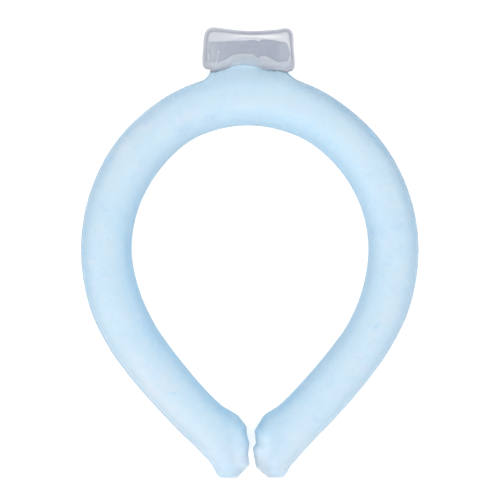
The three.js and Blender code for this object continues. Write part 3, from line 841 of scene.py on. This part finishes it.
def gel_material():
    n = Nodes("frozen_gel")
    centre = linear(211, 224.5, 229.5)
    pale = linear(223, 225, 230)
    grey = linear(188, 208, 222)
    # deep colours of the two sides, partly painted shade
    deep_shade_in = linear(150, 210, 239)
    deep_shade_out = linear(151, 191, 213)
    blue = linear(160, 203, 227)
    drift = n.spread(n.noise(34, 4, 0.55, 0.6), 0.36, 0.64)
    colour = n.blend(n.sums("MULTIPLY", drift, 0.8), centre, linear(203, 222, 231))
    veil = n.spread(n.noise(95, 5, 0.6, 1.2), 0.48, 0.72)
    colour = n.blend(n.sums("MULTIPLY", veil, 0.55), colour, linear(218, 225, 231))
    # the sides' deeper colour with painted shade at the edges
    colour = n.blend(n.number("inner_tint_and_shade"), colour, deep_shade_in)
    colour = n.blend(n.number("outer_tint_and_shade"), colour, deep_shade_out)
    # paler gel, partly painted light
    colour = n.blend(n.number("paling_and_painted_light"), colour, linear(226, 233, 236))
    colour = n.blend(n.sums("MULTIPLY", n.number("neck_tint"), 0.55), colour, linear(203, 228, 240))
    # painted shade on the ends
    colour = n.blend(n.sums("MULTIPLY", n.number("end_shade"), 0.72), colour, linear(185, 208, 221))
    # painted light on the ends' inner flanks
    colour = n.blend(n.sums("MULTIPLY", n.number("gap_painted_light"), 0.28), colour, linear(212, 231, 242))
    # beige clouds with painted shade
    colour = n.blend(n.sums("MULTIPLY", n.number("warm_cloud_and_shade"), 0.55), colour, linear(212, 215, 213))
    # painted shade by the shoulders
    colour = n.blend(n.sums("MULTIPLY", n.number("shoulder_shade"), 0.16), colour, linear(150, 188, 208))
    # painted shade on the upper right
    colour = n.blend(n.sums("MULTIPLY", n.number("upper_right_shade"), 0.30), colour, linear(176, 203, 214))
    # the tips' greyish tone, partly painted shade
    colour = n.blend(n.sums("MULTIPLY", n.number("tip"), 0.66), colour, linear(192, 187, 188))
    colour = n.blend(n.sums("MULTIPLY", n.number("fin"), 0.7), colour, linear(144, 175, 197))
    mottle = n.spread(n.noise(150, 6, 0.62, 0.8), 0.34, 0.66, 0.35, 1.2)
    colour = n.blend(n.sums("MULTIPLY", n.number("pale_cloud"), mottle, True), colour, pale)
    colour = n.blend(n.sums("MULTIPLY", n.number("grey_cloud"), mottle, True), colour, grey)
    colour = n.blend(n.sums("MULTIPLY", n.number("blue_cloud"), mottle, True), colour, blue)
    lively = n.sums("SUBTRACT", 1.0, n.sums("MULTIPLY", n.number("end_calm"), 0.5))
    frost = n.spread(n.noise(330, 5, 0.66, 0.4), 0.50, 0.70)
    colour = n.blend(n.sums("MULTIPLY", n.sums("MULTIPLY", frost, 0.42), lively), colour, linear(221, 230, 236))
    grain = n.spread(n.noise(1050, 3, 0.7), 0.46, 0.66, 0.18, 0.52)
    colour = n.blend(n.sums("MULTIPLY", n.sums("MULTIPLY", grain, 0.95), lively), colour, linear(213, 229, 236))
    colour = n.blend(n.sums("MULTIPLY", n.number("end_calm"), 0.16), colour, linear(214, 192, 193))
    speck = n.spread(n.noise(260, 3, 0.6, 0.2), 0.56, 0.74)
    colour = n.blend(n.sums("MULTIPLY", speck, 0.20), colour, blue)
    shader = n.add("ShaderNodeBsdfPrincipled")
    n.join(colour, shader.inputs["Base Color"])
    shader.inputs["Roughness"].default_value = 0.62
    shader.inputs["Specular IOR Level"].default_value = 0.25
    shader.inputs["Subsurface Weight"].default_value = 0.7
    shader.inputs["Subsurface Radius"].default_value = (0.9, 1.0, 1.1)
    shader.inputs["Subsurface Scale"].default_value = 0.0030
    n.join(n.bump(n.noise(260, 5, 0.6), 0.25, 0.0004), shader.inputs["Normal"])
    return n.end(shader.outputs["BSDF"])


def film_material():
    n = Nodes("clear_film")
    gloss = n.add("ShaderNodeBsdfPrincipled")
    gloss.inputs["Base Color"].default_value = linear(165, 192, 214)
    gloss.inputs["Roughness"].default_value = 0.34
    gloss.inputs["Specular IOR Level"].default_value = 0.5
    gloss.inputs["IOR"].default_value = 1.48
    micro = n.bump(n.noise(1400, 3, 0.5), 0.10, 0.0001)
    n.join(micro, gloss.inputs["Normal"])
    clear = n.add("ShaderNodeBsdfTransparent")
    clear.inputs["Color"].default_value = (0.985, 0.988, 0.992, 1)
    rim = n.add("ShaderNodeLayerWeight")
    rim.inputs["Blend"].default_value = 0.24
    haze = n.sums("MULTIPLY_ADD", rim.outputs["Fresnel"], 0.85)
    haze.node.inputs[2].default_value = 0.045
    haze = n.sums("MULTIPLY", haze, n.sums("SUBTRACT", 1.0, n.number("clearer")))
    # the seam's line carries painted crease shade too; the pale film is clear at the tips and carries painted
    # highlights and painted light
    seam, pale_film_and_light = n.number("seam"), n.number("pale_film_and_light")
    amount = n.sums("MAXIMUM", haze, n.sums("MULTIPLY", seam, 0.7))
    amount = n.sums("MAXIMUM", amount, pale_film_and_light)
    mix = n.add("ShaderNodeMixShader")
    n.join(amount, mix.inputs[0])
    n.join(clear.outputs["BSDF"], mix.inputs[1])
    n.join(gloss.outputs["BSDF"], mix.inputs[2])
    # painted shade on the film's outer side
    tint = n.blend(n.number("outer_edge_shade"), linear(165, 192, 214), linear(136, 164, 190))
    tint = n.blend(seam, tint, linear(141, 162, 181))
    tint = n.blend(pale_film_and_light, tint, linear(222, 226, 234))
    n.join(tint, gloss.inputs["Base Color"])
    return n.end(mix.outputs["Shader"])


def tab_material():
    n = Nodes("tab_film")
    # paleness holds the zone tones with painted highlights and painted shade lines
    colour = n.blend(n.number("paleness"), linear(113, 121, 139), linear(206, 207, 211))
    colour = n.blend(n.sums("MULTIPLY", n.number("bluish"), 0.6), colour, linear(146, 170, 184))
    grain = n.spread(n.noise(900, 4, 0.6), 0.3, 0.7, 0.0, 0.10)
    colour = n.blend(grain, colour, linear(176, 180, 190))
    gloss = n.add("ShaderNodeBsdfPrincipled")
    n.join(colour, gloss.inputs["Base Color"])
    gloss.inputs["Roughness"].default_value = 0.2
    gloss.inputs["Specular IOR Level"].default_value = 0.5
    gloss.inputs["IOR"].default_value = 1.48
    gloss.inputs["Coat Weight"].default_value = 0.3
    gloss.inputs["Coat Roughness"].default_value = 0.08
    n.join(n.bump(n.noise(700, 4, 0.6), 0.15, 0.00012), gloss.inputs["Normal"])
    clear = n.add("ShaderNodeBsdfTransparent")
    clear.inputs["Color"].default_value = (0.90, 0.91, 0.94, 1)
    mix = n.add("ShaderNodeMixShader")
    solid_ = n.sums("ADD", n.sums("MULTIPLY", n.number("band"), 0.06), 0.86, True)
    n.join(solid_, mix.inputs[0])
    n.join(clear.outputs["BSDF"], mix.inputs[1])
    n.join(gloss.outputs["BSDF"], mix.inputs[2])
    return n.end(mix.outputs["Shader"])


def floor_material():
    n = Nodes("pale_floor")
    shader = n.add("ShaderNodeBsdfPrincipled")
    speck = n.spread(n.noise(9, 3, 0.5), 0.3, 0.7)
    n.join(n.blend(speck, (0.90, 0.90, 0.905, 1), (0.915, 0.915, 0.92, 1)),
           shader.inputs["Base Color"])
    shader.inputs["Roughness"].default_value = 0.7
    shader.inputs["Specular IOR Level"].default_value = 0.15
    shader.inputs["Emission Color"].default_value = (1, 1, 1, 1)
    shader.inputs["Emission Strength"].default_value = 0.25
    return n.end(shader.outputs["BSDF"])


# Painted shade in the film's wrinkles along the weld, with painted highlights beside them: x0, y0,
# x1, y1 in pixels, half width, strength (below 0 is a painted highlight)
FILM_CREASE_SHADE = [
    (258.8, 66.2, 263.5, 67.4, 0.42, 0.80), (263.5, 67.4, 268.5, 68.4, 0.42, 0.85),
    (268.5, 68.4, 274.0, 69.4, 0.45, 0.80), (274.0, 69.4, 281.5, 70.6, 0.40, 0.25),
    (281.5, 70.6, 286.6, 73.8, 0.55, 0.45), (286.4, 73.6, 289.6, 76.6, 0.5, 0.45),
    (260.2, 69.4, 264.2, 70.2, 0.38, 0.30), (264.2, 70.5, 270.5, 71.6, 0.42, 0.60),
    (270.5, 71.6, 276.0, 71.5, 0.45, 0.75), (276.0, 71.5, 281.5, 70.9, 0.40, 0.20),
    (264.5, 69.4, 270.8, 69.9, 0.45, -0.9), (260.5, 68.2, 263.4, 68.6, 0.40, -0.7),
    (272.5, 70.4, 275.5, 70.5, 0.35, -0.5),
    (211.4, 70.0, 217.0, 69.8, 0.50, 0.70), (217.0, 69.8, 222.0, 68.5, 0.50, 0.75),
    (222.0, 68.5, 225.4, 66.8, 0.50, 0.50),
]
skin_end = np.minimum(skin_at, LENGTH - skin_at)[:, None]
# in_gap: where the two ends face each other; the seam line is painted fainter there and the film made clearer, painted
# light against the shade between the ends
in_gap = np.where((skin_at > LENGTH / 2)[:, None],
                  (1 - smooth(11.5, 26, skin_end)) * smooth(4, 13, skin_end),
                  (1 - smooth(13, 27, skin_end)) * smooth(2.5, 9, skin_end)) \
    * smooth(0.15, 0.7, -np.cos(np.radians(skin_round)))[None, :]
seam_share = np.exp(-((skin[..., 2] - MID_Z) / 0.24) ** 2)
skin_px, skin_py = skin[..., 0] / PX + 249.45, 252.4 - skin[..., 1] / PX
# mid_weld: the middle of the weld below the tab, where the seam line is left out and the film is made clearer and
# paler, painted light on the shade in the crease
mid_weld = (skin_py < 69) * (1 - smooth(9.5, 15.5, np.abs(skin_px - 243.5)))
seam_share = seam_share * (1 - 0.95 * mid_weld) * (1 - 0.7 * in_gap) * smooth(0.5, 3.0, skin_end)
crease_shade, crease_highlight = np.zeros_like(seam_share), np.zeros_like(seam_share)
by_weld = np.nonzero((skin_py < 82).any(axis=1))[0]
for row in FILM_CREASE_SHADE:
    mark = abs(row[5]) * on_line(skin_px[by_weld], skin_py[by_weld], row)
    target = crease_shade if row[5] > 0 else crease_highlight
    target[by_weld] = np.maximum(target[by_weld], mark)
upper_half = smooth(0.0, 0.5, skin[..., 2] - MID_Z + 0.3)
edge_on = np.exp(-((skin[..., 2] - MID_Z) / 1.1) ** 2)
tip_weld = (1 - smooth(0.3, 3.0, skin_end)) * np.ones_like(seam_share)
skin_section = np.interp(skin_at, length_at, rows)[:, None]
# painted shade on the film's outer side: full along the upper right, half by the left end and arm, less by the right
# end
outer_edge_shade = (smooth(18.8, 20.5, skin_section) * (1 - smooth(23, 25, skin_section))
          + 0.5 * smooth(6, 9, skin_section) * (1 - smooth(12.5, 14.5, skin_section))
          + 0.3 * smooth(30, 32, skin_section) * (1 - smooth(34, 36, skin_section))) \
    * smooth(0.55, 0.9, np.cos(np.radians(skin_round)))[None, :]
give(sleeve, "outer_edge_shade", with_caps(outer_edge_shade))
# the weld seam's own dark line, with painted shade in the creases along the weld
give(sleeve, "seam", with_caps(np.maximum(seam_share, crease_shade * upper_half)))
# pale film: clear at the tips, painted highlights beside the creases, painted light along the middle of the weld
give(sleeve, "pale_film_and_light", with_caps(np.maximum.reduce([
    0.35 * tip_weld, 0.75 * crease_highlight * upper_half, 0.25 * mid_weld * edge_on ** 2])))
give(sleeve, "clearer", with_caps(np.maximum(0.5 * mid_weld * edge_on, 0.70 * in_gap)))

sleeve.data.materials.append(film_material())
filling.data.materials.append(gel_material())
tab.data.materials.append(tab_material())

for piece, node, slot in ((sleeve, "tube_skin", "film"), (filling, "cooling_gel", "coolant"),
                          (tab, "filler_tab", "tab_film")):
    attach(piece, "root")
    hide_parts(node)

# ---------------------------------------------------------------- floor, light and camera
floor = bpy.data.meshes.new("floor")
floor.from_pydata([(-6, -6, -0.00005), (6, -6, -0.00005), (6, 6, -0.00005), (-6, 6, -0.00005)],
                  [], [(0, 1, 2, 3)])
floor = bpy.data.objects.new("floor", floor)
bpy.context.scene.collection.objects.link(floor)
floor.data.materials.append(floor_material())


def softbox(name, place, aim, size, watts, tone=(1, 1, 1)):
    light = bpy.data.lights.new(name, "AREA")
    light.shape = "RECTANGLE"
    light.size, light.size_y = size
    light.energy = watts
    light.color = tone
    lamp = bpy.data.objects.new(name, light)
    lamp.location = place
    lamp.rotation_euler = (Vector(aim) - Vector(place)).to_track_quat("-Z", "Y").to_euler()
    bpy.context.scene.collection.objects.link(lamp)
    return lamp


softbox("overhead", (0.0, 0.0, 1.7), (0, 0, 0), (1.1, 1.1), 5.0)
softbox("front_left", (-0.75, -1.5, 1.0), (0, 0, 0), (1.2, 1.2), 6.5)

world = bpy.data.worlds.new("studio")
bpy.context.scene.world = world
world.use_nodes = True
world.node_tree.nodes["Background"].inputs["Color"].default_value = (1.0, 1.0, 1.0, 1)
world.node_tree.nodes["Background"].inputs["Strength"].default_value = 1.32

camera = bpy.data.cameras.new("camera")
camera.lens = 120
camera.sensor_width = 36
camera.clip_start, camera.clip_end = 0.01, 20
camera = bpy.data.objects.new("camera", camera)
camera.location = (0.00025, 0.00108, 0.0104 + 0.75)
camera.rotation_euler = (0, 0, 0)
bpy.context.scene.collection.objects.link(camera)
bpy.context.scene.camera = camera

bpy.context.scene.view_settings.view_transform = "Standard"
bpy.context.scene.view_settings.look = "None"
bpy.context.scene.view_settings.exposure = 0.0
bpy.context.scene.view_settings.gamma = 1.0
